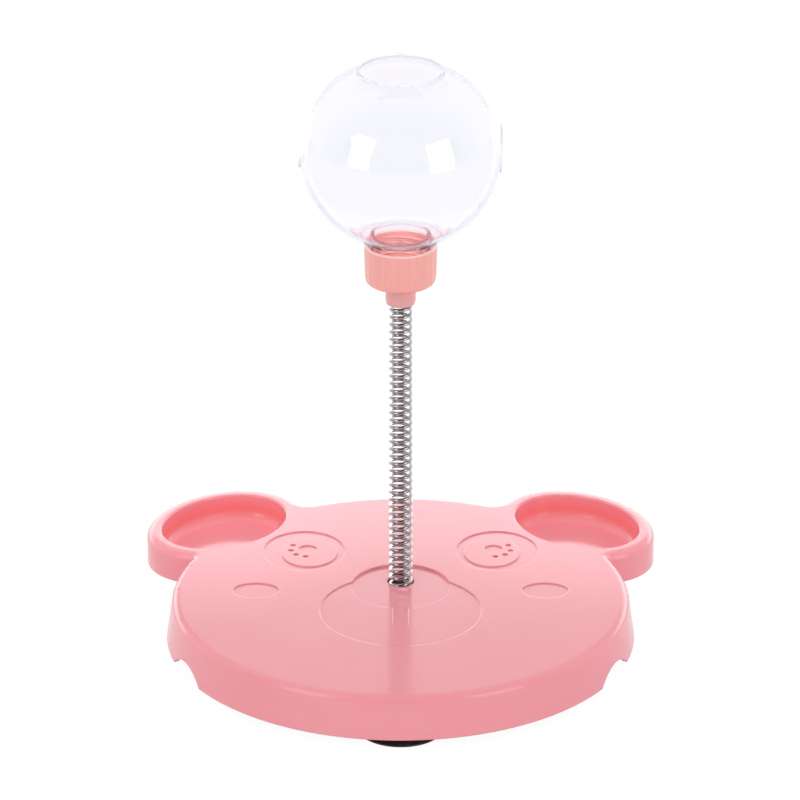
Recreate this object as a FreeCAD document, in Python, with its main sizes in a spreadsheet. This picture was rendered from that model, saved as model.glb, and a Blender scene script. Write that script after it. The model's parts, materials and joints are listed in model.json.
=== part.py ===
import FreeCAD, Part
import math
import os
from types import SimpleNamespace

import Sketcher

# Treat dispensing toy: a clear treat ball on a coil spring, on a low animal-head base with two ear bowls.
# Millimetres, +Z up, the muzzle towards -Y, the floor at Z = 0 under the middle of the part's box.

# Driving dimensions. Each one is a cell of the spreadsheet under the same name.
SIZES = {
    # Head of the base: a shallow round cover, open below
    "floor_gap": 6.0,
    "skirt_height": 20.5,
    "head_radius_top": 107.0,
    "skirt_flare": 3.0,
    "shell_wall": 2.2,
    "edge_round": 3.8,
    # Ears, each an ellipse with a food bowl sunk into it
    "ear_out": 9.3,
    "ear_angle": 43.0,
    "ear_semi_long": 41.0,
    "ear_semi_short": 32.5,
    "ear_height": 15.5,
    "crook_round_rear": 9.0,
    "crook_round_front": 2.0,
    "bowl_rim_long": 7.5,
    "bowl_rim_short": 6.7,
    "bowl_depth": 12.8,
    "bowl_floor_round": 5.0,
    "bowl_rim_round": 0.9,
    # Shallow face relief in the top
    "relief_depth": 0.6,
    "nose_depth": 1.1,
    "nose_y": 8.9,
    "nose_radius": 23.1,
    "muzzle_y": -17.0,
    "muzzle_radius": 37.7,
    "mouth_width": 7.4,
    "mouth_reach": 34.0,
    "mouth_end_radius": 3.75,
    "eye_x": 46.0,
    "eye_y": 46.5,
    "eye_semi_x": 19.4,
    "eye_semi_y": 21.8,
    "iris_x": 43.5,
    "iris_y": 45.0,
    "iris_semi_x": 13.4,
    "iris_semi_y": 15.5,
    "pad_x": 44.3,
    "pad_y": 48.5,
    "pad_radius": 4.3,
    "toe_ring": 8.2,
    "toe_radius": 1.4,
    "toe_depth": 1.1,
    "cheek_x": 68.0,
    "cheek_y": 3.7,
    "cheek_semi_x": 10.8,
    "cheek_semi_y": 8.1,
    # Finger notches in the skirt
    "notch_angle": 24.0,
    "notch_half_width": 15.0,
    "notch_rise": 6.4,
    "notch_cut_length": 17.6,
    # Bosses and ribs under the head
    "spring_y": 15.9,
    "spring_boss_radius": 9.5,
    "spring_boss_drop": 14.0,
    "mouth_clearance": 0.6,
    "pillar_ring": 14.0,
    "pillar_radius": 3.6,
    "rib_thickness": 1.8,
    "rib_height": 6.0,
    # Suction cups: a rubber cup with a neck and a knob that snaps into a boss
    "cup_inset": 24.8,
    "cup_radius": 20.0,
    "cup_height": 8.2,
    "cup_wall": 2.0,
    "cup_crown": 3.0,
    "cup_lip": 0.8,
    "cup_flare_radius": 40.0,
    "cup_stem_radius": 6.0,
    "neck_radius": 3.4,
    "knob_radius": 5.0,
    "knob_tip_radius": 3.0,
    "knob_height": 4.5,
    "boss_lip": 2.0,
    "boss_wall": 2.4,
    "seat_clearance": 0.3,
    # Spring
    "spring_outer_radius": 5.75,
    "wire_radius": 0.85,
    "spring_pitch": 3.74,
    "spring_show": 142.0,
    # Screws and the plastic pieces that they hold
    "flange_thickness": 2.4,
    "anchor_stem": 11.0,
    "screw_core": 1.1,
    "screw_hole": 1.6,
    "screw_fit": 0.05,
    "screw_head_radius": 2.8,
    "screw_head_height": 1.8,
    "screw_bite": 9.0,
    "plug_length": 9.5,
    "plug_bite": 7.7,
    # Screw cap under the ball
    "stub_radius": 7.1,
    "stub_straight": 8.6,
    "stub_taper": 2.0,
    "cap_radius_low": 16.4,
    "cap_radius_top": 17.0,
    "cap_height": 19.0,
    "cap_floor": 3.0,
    "cap_wall": 2.6,
    "cap_low_round": 2.6,
    "cap_rib_depth": 0.35,
    "cap_ribs": 24,
    "socket_depth": 11.2,
    # Treat ball: a thin clear bottle, neck down
    "ball_radius": 47.6,
    "ball_wall": 1.1,
    "ball_flat_height": 38.3,
    "ball_flat_radius": 20.2,
    "ball_step": 1.3,
    "ball_ledge": 1.1,
    "ball_shoulder_radius": 19.6,
    "ball_neck_wall": 1.25,
    "thread_clearance": 0.35,
    "rim_gap": 3.4,
    "hole_radius": 11.2,
    "hole_rise": 1.0,
    "ball_turn": 4.0,
    # How far a cut runs past the face that it opens
    "cut_past": 1.0,
}

# Degrees, counted anticlockwise from +X
PILLAR_ANGLES = (30, 150, 270)
TOE_ANGLES = (150, 192, 228, 264)

# Smallest lengths, in millimetres, and volumes that count as a difference
LEVEL_SLACK = 1e-4
VOLUME_SLACK = 1e-6


class Term:
    """A number together with the spreadsheet formula that gives it."""

    def __init__(self, value, text):
        self.value = value
        self.text = text

    def join(self, other, sign, value, swapped=False):
        text = other.text if isinstance(other, Term) else repr(float(other))
        first, last = (text, self.text) if swapped else (self.text, text)
        return Term(value, f"({first} {sign} {last})")

    def __add__(self, other):
        return self.join(other, "+", self.value + number(other))

    def __radd__(self, other):
        return self.join(other, "+", number(other) + self.value, swapped=True)

    def __sub__(self, other):
        return self.join(other, "-", self.value - number(other))

    def __rsub__(self, other):
        return self.join(other, "-", number(other) - self.value, swapped=True)

    def __mul__(self, other):
        return self.join(other, "*", self.value * number(other))

    def __rmul__(self, other):
        return self.join(other, "*", number(other) * self.value, swapped=True)

    def __truediv__(self, other):
        return self.join(other, "/", self.value / number(other))

    def __neg__(self):
        return Term(-self.value, f"(0 - {self.text})")


def number(item):
    return item.value if isinstance(item, Term) else float(item)


def root(term):
    return Term(math.sqrt(term.value), f"sqrt({term.text})")


def cosine(degrees):
    return Term(math.cos(math.radians(degrees.value)), f"cos({degrees.text})")


def sine(degrees):
    return Term(math.sin(math.radians(degrees.value)), f"sin({degrees.text})")


doc = FreeCAD.newDocument("TreatToy")

sheet = doc.addObject("Spreadsheet::Sheet", "Sizes")
for row, (alias, value) in enumerate(SIZES.items(), start=1):
    sheet.set(f"A{row}", alias)
    sheet.set(f"B{row}", str(value))
    sheet.setAlias(f"B{row}", alias)
doc.recompute()

d = SimpleNamespace(**{alias: Term(float(value), f"Sizes.{alias}") for alias, value in SIZES.items()})

# Levels above the floor
top_level = d.floor_gap + d.skirt_height
ceiling_level = top_level - d.shell_wall
ear_level = top_level - d.ear_height
bowl_under_level = top_level - d.bowl_depth - d.shell_wall
boss_level = ceiling_level - d.spring_boss_drop
cup_seat_level = d.cup_height
stub_level = top_level + d.spring_show
cap_level = stub_level + d.stub_taper + d.stub_straight
socket_top_level = stub_level + d.socket_depth
cap_floor_level = cap_level + d.cap_floor
cap_rim_level = cap_level + d.cap_height
ball_centre_level = cap_rim_level + d.ball_radius

# Places in plan, from the middle of the head, and the shift that centres the part's box
head_radius_low = d.head_radius_top + d.skirt_flare
ear_distance = d.head_radius_top + d.ear_out
ear_x = ear_distance * cosine(d.ear_angle)
ear_y = ear_distance * sine(d.ear_angle)
bowl_semi_long = d.ear_semi_long - d.bowl_rim_long
bowl_semi_short = d.ear_semi_short - d.bowl_rim_short
ear_reach_long = d.ear_semi_long * cosine(d.ear_angle)
ear_reach_short = d.ear_semi_short * sine(d.ear_angle)
ear_back = ear_y + root(ear_reach_long * ear_reach_long + ear_reach_short * ear_reach_short)
head_y = (head_radius_low - ear_back) / 2
axis_y = head_y + d.spring_y
cup_reach = head_radius_low - d.cup_inset

# Fits that several pieces share
spring_mean_radius = d.spring_outer_radius - d.wire_radius
spring_bore_radius = d.spring_outer_radius + d.seat_clearance
mouth_radius = d.spring_outer_radius + d.mouth_clearance
stem_radius = d.spring_outer_radius - d.wire_radius * 2 - d.seat_clearance
pilot_radius = d.screw_core + d.screw_fit
cup_boss_bore = d.knob_radius + d.seat_clearance
cup_boss_radius = cup_boss_bore + d.boss_wall
flange_radius = d.pillar_ring + d.pillar_radius


def bind(item, name, term):
    """Ties a property to the spreadsheet."""
    item.setExpression(name, term.text)


def place(item, x=None, y=None, z=None):
    for axis, term in (("x", x), ("y", y), ("z", z)):
        if term is not None:
            bind(item, f"Placement.Base.{axis}", term)


def new_body(label):
    body = doc.addObject("PartDesign::Body", "Body_" + label)
    body.Label = label
    return body


def plane_of(body, role):
    return next(item for item in body.Origin.OriginFeatures if item.Role == role)


def new_sketch(body, role, name, level=None):
    sketch = body.newObject("Sketcher::SketchObject", name)
    sketch.AttachmentSupport = [(plane_of(body, role), "")]
    sketch.MapMode = "FlatFace"
    if level is not None:
        bind(sketch, "AttachmentOffset.Base.z", level)
    return sketch


def hold(sketch, kind, geometry, term, *point):
    """Adds one dimension and ties it to the spreadsheet."""
    index = sketch.addConstraint(Sketcher.Constraint(kind, geometry, *point, number(term)))
    if isinstance(term, Term):
        bind(sketch, f"Constraints[{index}]", term)


def hold_point(sketch, geometry, point, x, y):
    """Fixes a point by its two distances from the sketch's origin."""
    for kind, axis, term in (("DistanceX", -2, x), ("DistanceY", -1, y)):
        if number(term) == 0:
            sketch.addConstraint(Sketcher.Constraint("PointOnObject", geometry, point, axis))
        else:
            index = sketch.addConstraint(Sketcher.Constraint(kind, -1, 1, geometry, point, number(term)))
            if isinstance(term, Term):
                bind(sketch, f"Constraints[{index}]", term)


def arc_between(start, end, radius, turn):
    """The short arc from start to end; turn is 1 when it bends left and -1 when it bends right."""
    chord = end - start
    middle = (start + end) * 0.5
    rise = math.sqrt(max(radius * radius - chord.Length ** 2 / 4, 0))
    side = FreeCAD.Vector(-chord.y, chord.x, 0).normalize()
    centre = middle + side * (rise * turn)
    circle = Part.Circle(centre, FreeCAD.Vector(0, 0, 1), radius)
    first, last = (start, end) if turn > 0 else (end, start)
    angles = [math.atan2(p.y - centre.y, p.x - centre.x) for p in (first, last)]
    return Part.ArcOfCircle(circle, angles[0], angles[1])


def add_outline(sketch, corners):
    """A closed outline. A corner is (x, y), or (x, y, radius, turn) when an arc leads on from it."""
    points = [FreeCAD.Vector(number(c[0]), number(c[1]), 0) for c in corners]
    ids = []
    for index, corner in enumerate(corners):
        start = points[index]
        end = points[(index + 1) % len(points)]
        if len(corner) == 2:
            ids.append((sketch.addGeometry(Part.LineSegment(start, end), False), 1, 2))
        else:
            arc = arc_between(start, end, number(corner[2]), corner[3])
            ends = (1, 2) if corner[3] > 0 else (2, 1)
            ids.append((sketch.addGeometry(arc, False), *ends))
    for index, (geometry, start, end) in enumerate(ids):
        following = ids[(index + 1) % len(ids)]
        sketch.addConstraint(Sketcher.Constraint("Coincident", geometry, end, following[0], following[1]))
        hold_point(sketch, geometry, start, corners[index][0], corners[index][1])
        if len(corners[index]) > 2:
            hold(sketch, "Radius", geometry, corners[index][2])


def add_circle(sketch, x, y, radius):
    centre = FreeCAD.Vector(number(x), number(y), 0)
    geometry = sketch.addGeometry(Part.Circle(centre, FreeCAD.Vector(0, 0, 1), number(radius)), False)
    hold_point(sketch, geometry, 3, x, y)
    hold(sketch, "Radius", geometry, radius)


def add_ellipse(sketch, x, y, semi_long, semi_short, along_x, along_y):
    """An ellipse whose long axis points along the given direction, a unit vector of two terms."""
    centre = FreeCAD.Vector(number(x), number(y), 0)
    direction = FreeCAD.Vector(number(along_x), number(along_y), 0)
    across = FreeCAD.Vector(-direction.y, direction.x, 0)
    long_end = centre + direction * number(semi_long)
    short_end = centre + across * number(semi_short)
    geometry = sketch.addGeometry(Part.Ellipse(long_end, short_end, centre), False)
    sketch.exposeInternalGeometry(geometry)
    long_axis, short_axis = geometry + 1, geometry + 2
    ends = [sketch.getPoint(long_axis, point) for point in (1, 2)]
    far_end = 1 if (ends[0] - centre).dot(direction) > 0 else 2
    hold_point(sketch, geometry, 3, x, y)
    hold_point(sketch, long_axis, far_end, x + along_x * semi_long, y + along_y * semi_long)
    hold(sketch, "Distance", short_axis, semi_short * 2)


def feature(body, kind, name, sketch, length=None, reverse=False):
    """A pad, pocket, revolution or groove made from a sketch; a cut has to take something away."""
    before = body.Shape.Volume if body.Tip else 0
    item = body.newObject("PartDesign::" + kind, name)
    item.Profile = sketch
    if kind in ("Revolution", "Groove"):
        item.ReferenceAxis = (sketch, ["V_Axis"])
        item.Angle = 360
    else:
        bind(item, "Length", length)
        item.Reversed = reverse
    doc.recompute()
    if kind in ("Pocket", "Groove") and not body.Shape.Volume < before - VOLUME_SLACK:
        raise RuntimeError(f"{name} cuts nothing")
    return item


def round_edges(body, name, base, edges, radius):
    item = body.newObject("PartDesign::Fillet", name)
    item.Base = (base, edges)
    bind(item, "Radius", radius)
    doc.recompute()
    if not edges or item.Shape.isNull():
        raise RuntimeError(f"{name} rounds nothing")
    return item


def edges_where(shape, test):
    return [f"Edge{index}" for index, edge in enumerate(shape.Edges, start=1) if test(edge)]


def turned(label, corners):
    """A round piece: one outline in the upright plane, turned about its Z axis."""
    body = new_body(label)
    sketch = new_sketch(body, "XZ_Plane", label + "_profile")
    add_outline(sketch, corners)
    feature(body, "Revolution", label + "_turned", sketch)
    return body


def lies_at(edge, level):
    box = edge.BoundBox
    return abs(box.ZMin - level) < LEVEL_SLACK and abs(box.ZMax - level) < LEVEL_SLACK


def level_edges(shape, level):
    """The edges that lie wholly at one height."""
    return edges_where(shape, lambda edge: lies_at(edge, level))


def ear_ellipses(sketch, semi_long, semi_short):
    """The same ellipse at both ears, with its long axis square to the line from the head's middle."""
    for side in (-1, 1):
        add_ellipse(sketch, ear_x * side, ear_y, semi_long, semi_short,
                    sine(d.ear_angle) * -side, cosine(d.ear_angle))


# Base shell: head, ears and bowls, moulded in one piece
def head_and_ears(body):
    profile = new_sketch(body, "XZ_Plane", "head_profile")
    add_outline(profile, [
        (0, d.floor_gap),
        (head_radius_low, d.floor_gap),
        (d.head_radius_top, top_level),
        (0, top_level),
    ])
    feature(body, "Revolution", "head", profile)
    ears = new_sketch(body, "XY_Plane", "ear_outline", ear_level)
    ear_ellipses(ears, d.ear_semi_long, d.ear_semi_short)
    ear_pads = feature(body, "Pad", "ears", ears, d.ear_height)

    def crooks(side):
        """The curved edges where an ear meets the head: side is 1 behind the ears and -1 in front."""
        def test(edge):
            levels = [vertex.Z for vertex in edge.Vertexes]
            full_height = abs(max(levels) - min(levels) - number(d.ear_height)) < LEVEL_SLACK
            off_seam = edge.Curve.TypeId != "Part::GeomLine"
            return full_height and off_seam and (edge.CenterOfMass.y - number(ear_y)) * side > 0
        return edges_where(body.Shape, test)

    rear = round_edges(body, "rear_crooks", ear_pads, crooks(1), d.crook_round_rear)
    front = round_edges(body, "front_crooks", rear, crooks(-1), d.crook_round_front)
    return round_edges(body, "top_edge", front, level_edges(body.Shape, number(top_level)), d.edge_round)


def hollow_below(body):
    inside = new_sketch(body, "XZ_Plane", "hollow_profile")
    add_outline(inside, [
        (0, d.floor_gap - d.cut_past),
        (head_radius_low - d.shell_wall, d.floor_gap - d.cut_past),
        (head_radius_low - d.shell_wall, d.floor_gap),
        (d.head_radius_top - d.shell_wall, ceiling_level),
        (0, ceiling_level),
    ])
    feature(body, "Groove", "head_hollow", inside)
    ears = new_sketch(body, "XY_Plane", "ear_hollow_outline", ear_level)
    ear_ellipses(ears, d.ear_semi_long - d.shell_wall, d.ear_semi_short - d.shell_wall)
    feature(body, "Pocket", "ear_hollows", ears, d.ear_height - d.shell_wall, reverse=True)


def bowls(body):
    blocks = new_sketch(body, "XY_Plane", "bowl_block_outline", bowl_under_level)
    ear_ellipses(blocks, bowl_semi_long + d.shell_wall, bowl_semi_short + d.shell_wall)
    feature(body, "Pad", "bowl_blocks", blocks, d.bowl_depth + d.shell_wall / 2)
    mouths = new_sketch(body, "XY_Plane", "bowl_outline", top_level)
    ear_ellipses(mouths, bowl_semi_long, bowl_semi_short)
    cut = feature(body, "Pocket", "bowl_mouths", mouths, d.bowl_depth)
    floors = level_edges(body.Shape, number(top_level - d.bowl_depth))
    rounded = round_edges(body, "bowl_floors", cut, floors, d.bowl_floor_round)

    def bowl_rim(edge):
        middle = edge.BoundBox.Center
        off_centre = math.hypot(abs(middle.x) - number(ear_x), middle.y - number(ear_y))
        return lies_at(edge, number(top_level)) and off_centre < number(d.bowl_rim_round)

    return round_edges(body, "bowl_rims", rounded, edges_where(body.Shape, bowl_rim), d.bowl_rim_round)


def face_relief(body):
    """Shallow recesses in the top: muzzle, nose, mouth, eyes with a paw mark in each, and cheeks."""
    muzzle = new_sketch(body, "XY_Plane", "muzzle_outline", top_level)
    add_circle(muzzle, 0, d.muzzle_y, d.muzzle_radius)
    feature(body, "Pocket", "muzzle", muzzle, d.relief_depth)
    nose = new_sketch(body, "XY_Plane", "nose_outline", top_level)
    add_circle(nose, 0, d.nose_y, d.nose_radius)
    feature(body, "Pocket", "nose", nose, d.nose_depth)
    mouth = new_sketch(body, "XY_Plane", "mouth_outline", top_level)
    half = d.mouth_width / 2
    add_outline(mouth, [
        (half, d.nose_y),
        (-half, d.nose_y),
        (-half, half - d.mouth_reach, d.mouth_end_radius, 1),
        (half, half - d.mouth_reach),
    ])
    feature(body, "Pocket", "mouth", mouth, d.nose_depth)
    eyes = new_sketch(body, "XY_Plane", "eye_outline", top_level)
    cheeks = new_sketch(body, "XY_Plane", "cheek_outline", top_level)
    pads = new_sketch(body, "XY_Plane", "pad_outline", top_level)
    toes = new_sketch(body, "XY_Plane", "toe_outline", top_level)
    along_x = (Term(1.0, "1"), Term(0.0, "0"))
    along_y = (Term(0.0, "0"), Term(1.0, "1"))
    for side in (-1, 1):
        add_ellipse(eyes, d.eye_x * side, d.eye_y, d.eye_semi_y, d.eye_semi_x, *along_y)
        add_ellipse(eyes, d.iris_x * side, d.iris_y, d.iris_semi_y, d.iris_semi_x, *along_y)
        add_ellipse(cheeks, d.cheek_x * side, d.cheek_y, d.cheek_semi_x, d.cheek_semi_y, *along_x)
        add_circle(pads, d.pad_x * side, d.pad_y, d.pad_radius)
        for angle in TOE_ANGLES:
            toe_x = d.pad_x - d.toe_ring * math.cos(math.radians(angle))
            toe_y = d.pad_y + d.toe_ring * math.sin(math.radians(angle))
            add_circle(toes, toe_x * side, toe_y, d.toe_radius)
    feature(body, "Pocket", "eyes", eyes, d.relief_depth)
    feature(body, "Pocket", "cheeks", cheeks, d.relief_depth)
    feature(body, "Pocket", "pads", pads, d.relief_depth)
    feature(body, "Pocket", "toes", toes, d.toe_depth)


def cup_places():
    """Where the four suction cups sit, from the middle of the head."""
    return {
        "front": (Term(0.0, "0"), -cup_reach),
        "rear": (Term(0.0, "0"), cup_reach),
        "left": (-cup_reach, d.spring_y),
        "right": (cup_reach, d.spring_y),
    }


def pillar_places(middle_y):
    """The three screw pillars round the spring."""
    places = []
    for angle in PILLAR_ANGLES:
        x = d.pillar_ring * math.cos(math.radians(angle))
        y = middle_y + d.pillar_ring * math.sin(math.radians(angle))
        places.append((x, y))
    return places


def bosses(body):
    """Bosses for the spring, its screws and the cups, on a cross of ribs."""
    into_ceiling = d.shell_wall / 2
    ribs = new_sketch(body, "XY_Plane", "rib_outline", ceiling_level - d.rib_height)
    half = d.rib_thickness / 2
    add_outline(ribs, [
        (-half, -cup_reach),
        (half, -cup_reach),
        (half, d.spring_y - half),
        (cup_reach, d.spring_y - half),
        (cup_reach, d.spring_y + half),
        (half, d.spring_y + half),
        (half, cup_reach),
        (-half, cup_reach),
        (-half, d.spring_y + half),
        (-cup_reach, d.spring_y + half),
        (-cup_reach, d.spring_y - half),
        (-half, d.spring_y - half),
    ])
    feature(body, "Pad", "ribs", ribs, d.rib_height + into_ceiling)
    cup_bosses = new_sketch(body, "XY_Plane", "cup_boss_outline", cup_seat_level)
    lip_holes = new_sketch(body, "XY_Plane", "lip_hole_outline", cup_seat_level)
    knob_rooms = new_sketch(body, "XY_Plane", "knob_room_outline", cup_seat_level + d.boss_lip)
    for x, y in cup_places().values():
        add_circle(cup_bosses, x, y, cup_boss_radius)
        add_circle(lip_holes, x, y, d.neck_radius + d.seat_clearance)
        add_circle(knob_rooms, x, y, cup_boss_bore)
    feature(body, "Pad", "cup_bosses", cup_bosses, ceiling_level - cup_seat_level + into_ceiling)
    feature(body, "Pocket", "lip_holes", lip_holes, d.boss_lip + d.cut_past, reverse=True)
    feature(body, "Pocket", "knob_rooms", knob_rooms, d.knob_height + d.seat_clearance * 2, reverse=True)
    boss = new_sketch(body, "XY_Plane", "spring_boss_outline", boss_level)
    add_circle(boss, 0, d.spring_y, d.spring_boss_radius)
    feature(body, "Pad", "spring_boss", boss, d.spring_boss_drop + into_ceiling)
    pillars = new_sketch(body, "XY_Plane", "pillar_outline", boss_level)
    pilots = new_sketch(body, "XY_Plane", "pilot_outline", boss_level)
    for x, y in pillar_places(d.spring_y):
        add_circle(pillars, x, y, d.pillar_radius)
        add_circle(pilots, x, y, pilot_radius)
    feature(body, "Pad", "pillars", pillars, d.spring_boss_drop + into_ceiling)
    feature(body, "Pocket", "pilots", pilots, d.screw_bite + d.seat_clearance, reverse=True)
    mouth = new_sketch(body, "XY_Plane", "spring_mouth_outline", top_level)
    add_circle(mouth, 0, d.spring_y, mouth_radius)
    feature(body, "Pocket", "spring_mouth", mouth, d.shell_wall + d.spring_boss_drop + d.cut_past)


def finger_notches(body):
    """An arch cut up through the skirt on each side of the muzzle."""
    arch = (d.notch_half_width * d.notch_half_width + d.notch_rise * d.notch_rise) / (d.notch_rise * 2)
    for name, side in (("notch_right", 1), ("notch_left", -1)):
        cut = body.newObject("PartDesign::SubtractiveCylinder", name)
        bind(cut, "Radius", arch)
        bind(cut, "Height", d.notch_cut_length)
        angle = math.radians(SIZES["notch_angle"])
        outward = FreeCAD.Vector(side * math.cos(angle), -math.sin(angle), 0)
        tilt = FreeCAD.Rotation(FreeCAD.Vector(0, 0, 1), outward)
        cut.Placement = FreeCAD.Placement(FreeCAD.Vector(), tilt)
        inner = head_radius_low - d.notch_cut_length / 2
        place(cut, cosine(d.notch_angle) * inner * side, -(sine(d.notch_angle) * inner),
              d.floor_gap + d.notch_rise - arch)
        doc.recompute()


def base_shell():
    body = new_body("base_shell")
    head_and_ears(body)
    hollow_below(body)
    bowls(body)
    face_relief(body)
    bosses(body)
    finger_notches(body)
    place(body, y=head_y)
    return body


# Suction cups: a thin flared cup, a stem, a neck in the boss's lip and a knob above it
def suction_cup(side, x, y):
    seat = cup_seat_level - d.seat_clearance
    hollow_height = seat - d.cup_crown
    rim_radius = d.cup_radius - d.cup_lip * 2
    hollow_radius = (rim_radius * rim_radius + hollow_height * hollow_height) / (hollow_height * 2)
    knob_low = cup_seat_level + d.boss_lip + d.seat_clearance
    knob_top = knob_low + d.knob_height - d.seat_clearance * 2
    body = turned("suction_cup_" + side, [
        (0, hollow_height, hollow_radius, -1),
        (rim_radius, 0),
        (d.cup_radius, 0),
        (d.cup_radius, d.cup_lip, d.cup_flare_radius, 1),
        (d.cup_stem_radius + d.cup_wall, seat - d.cup_lip),
        (d.cup_stem_radius, seat),
        (d.neck_radius, seat),
        (d.neck_radius, knob_low),
        (d.knob_radius, knob_low),
        (d.knob_tip_radius, knob_top),
        (0, knob_top),
    ])
    place(body, x, head_y + y)
    return body


# Screws: a flat domed head and a plain core, the thread left out
def screw_outline(length):
    head = d.screw_head_radius
    return [
        (0, -length),
        (d.screw_core, -length),
        (d.screw_core, 0),
        (head, 0),
        (head, d.screw_head_height / 2),
        (head / 2, d.screw_head_height),
        (0, d.screw_head_height),
    ]


def cap_screw():
    body = turned("cap_screw", screw_outline(cap_floor_level - socket_top_level + d.plug_bite))
    place(body, y=axis_y, z=cap_floor_level)
    return body


def anchor_screws():
    """Three screws from below, as one group."""
    screws = []
    for index, (x, y) in enumerate(pillar_places(axis_y), start=1):
        screw = turned(f"anchor_screw_{index}", screw_outline(d.flange_thickness + d.screw_bite))
        screw.Placement = FreeCAD.Placement(FreeCAD.Vector(), FreeCAD.Rotation(FreeCAD.Vector(1, 0, 0), 180))
        place(screw, x, y, boss_level - d.flange_thickness)
        screws.append(screw)
    group = doc.addObject("Part::Compound", "Anchor_screws")
    group.Links = screws
    group.Label = "anchor_screws"
    return group


# Spring anchor: a flange screwed under the head and a stem up inside the spring
def spring_anchor():
    stem_top = d.flange_thickness + d.anchor_stem
    body = turned("spring_anchor", [
        (0, 0),
        (flange_radius, 0),
        (flange_radius, d.flange_thickness),
        (stem_radius, d.flange_thickness),
        (stem_radius, stem_top - stem_radius / 2),
        (stem_radius / 2, stem_top),
        (0, stem_top),
    ])
    holes = new_sketch(body, "XY_Plane", "flange_hole_outline")
    for x, y in pillar_places(Term(0.0, "0")):
        add_circle(holes, x, y, d.screw_hole)
    feature(body, "Pocket", "flange_holes", holes, d.flange_thickness + d.cut_past, reverse=True)
    place(body, y=axis_y, z=boss_level - d.flange_thickness)
    return body


# Spring plug: sits inside the spring's top turns, drawn up by the cap screw
def spring_plug():
    body = turned("spring_plug", [
        (stem_radius / 2, -d.plug_length),
        (stem_radius, stem_radius / 2 - d.plug_length),
        (stem_radius, 0),
        (pilot_radius, 0),
        (pilot_radius, -d.plug_length),
    ])
    place(body, y=axis_y, z=socket_top_level)
    return body


# Screw cap: a ribbed cup for the ball's neck above, a short stub for the spring below
def screw_cap():
    bore = d.cap_radius_top - d.cap_wall
    stub_end = stub_level - cap_level
    socket_end = socket_top_level - cap_level
    body = turned("screw_cap", [
        (spring_bore_radius, stub_end),
        (spring_bore_radius + d.mouth_clearance, stub_end),
        (d.stub_radius, stub_end + d.stub_taper),
        (d.stub_radius, 0),
        (d.cap_radius_low - d.cap_low_round, 0, d.cap_low_round, 1),
        (d.cap_radius_low, d.cap_low_round),
        (d.cap_radius_top, d.cap_height),
        (bore, d.cap_height),
        (bore, d.cap_floor),
        (d.screw_hole, d.cap_floor),
        (d.screw_hole, socket_end),
        (spring_bore_radius, socket_end),
    ])
    flute = new_sketch(body, "XY_Plane", "flute_outline", d.cap_height)
    pitch = math.pi / SIZES["cap_ribs"]
    flute_radius = d.cap_radius_low * (math.sin(pitch) / 2)
    add_circle(flute, d.cap_radius_top + flute_radius - d.cap_rib_depth, 0, flute_radius)
    cut = feature(body, "Pocket", "flute", flute, d.cap_height)
    ribs = body.newObject("PartDesign::PolarPattern", "flutes")
    ribs.Originals = [cut]
    ribs.Axis = (plane_of(body, "Z_Axis"), [""])
    ribs.Angle = 360
    ribs.Occurrences = SIZES["cap_ribs"]
    body.Tip = ribs
    doc.recompute()
    place(body, y=axis_y, z=cap_level)
    return body


# Treat ball: a thin blown bottle, flattened on top, with two round outlets and a neck below
def ball_outline(inset, neck_end):
    """Half of the ball's section from the axis on top down to the neck, drawn in by the wall."""
    flat = d.ball_flat_height - inset
    wide = d.ball_radius - inset
    ledge_radius = d.ball_flat_radius + d.ball_ledge - inset
    ledge = d.ball_flat_height - d.ball_step - inset
    offset = (wide * wide - ledge_radius * ledge_radius - ledge * ledge) / ((wide - ledge_radius) * 2)
    neck = d.cap_radius_top - d.cap_wall - d.thread_clearance - d.ball_neck_wall * number(inset / d.ball_wall)
    shoulder = d.ball_shoulder_radius - inset
    shoulder_level = -root(wide * wide - shoulder * shoulder)
    neck_level = d.rim_gap + inset - d.ball_radius
    return [
        (neck, neck_end),
        (neck, neck_level),
        (shoulder, shoulder_level, wide, 1),
        (wide, 0, wide - offset, 1),
        (ledge_radius, ledge),
        (d.ball_flat_radius - inset, ledge),
        (d.ball_flat_radius - inset, flat),
        (0, flat),
    ]


def treat_ball():
    neck_end = cap_floor_level + d.seat_clearance - ball_centre_level
    outer = ball_outline(Term(0.0, "0"), neck_end)
    inner = ball_outline(d.ball_wall, neck_end)
    body = new_body("treat_ball")
    skin = new_sketch(body, "XZ_Plane", "ball_profile")
    corners = outer + [reverse_corner(inner, index) for index in range(len(inner) - 1, -1, -1)]
    add_outline(skin, corners)
    feature(body, "Revolution", "ball_skin", skin)
    outlets = new_sketch(body, "YZ_Plane", "outlet_outline")
    add_circle(outlets, 0, d.hole_rise, d.hole_radius)
    cut = feature(body, "Pocket", "outlets", outlets, (d.ball_radius + d.cut_past) * 2)
    cut.Midplane = True
    doc.recompute()
    turn = FreeCAD.Rotation(FreeCAD.Vector(0, 0, 1), -SIZES["ball_turn"])
    body.Placement = FreeCAD.Placement(FreeCAD.Vector(), turn)
    place(body, y=axis_y, z=ball_centre_level)
    return body


def reverse_corner(corners, index):
    """The same corner when the outline is followed the other way round."""
    before = corners[index - 1] if index else ()
    point = corners[index][:2]
    return (*point, before[2], -before[3]) if len(before) > 2 else point


# Spring: one round wire wound right-handed from the anchor up into the cap
def helix_point(angle, radius, rise):
    return FreeCAD.Vector(radius * math.cos(angle), radius * math.sin(angle), rise * angle / (2 * math.pi))


def helix_tangent(angle, radius, rise):
    tangent = FreeCAD.Vector(-radius * math.sin(angle), radius * math.cos(angle), rise / (2 * math.pi))
    return tangent.normalize()


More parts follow.
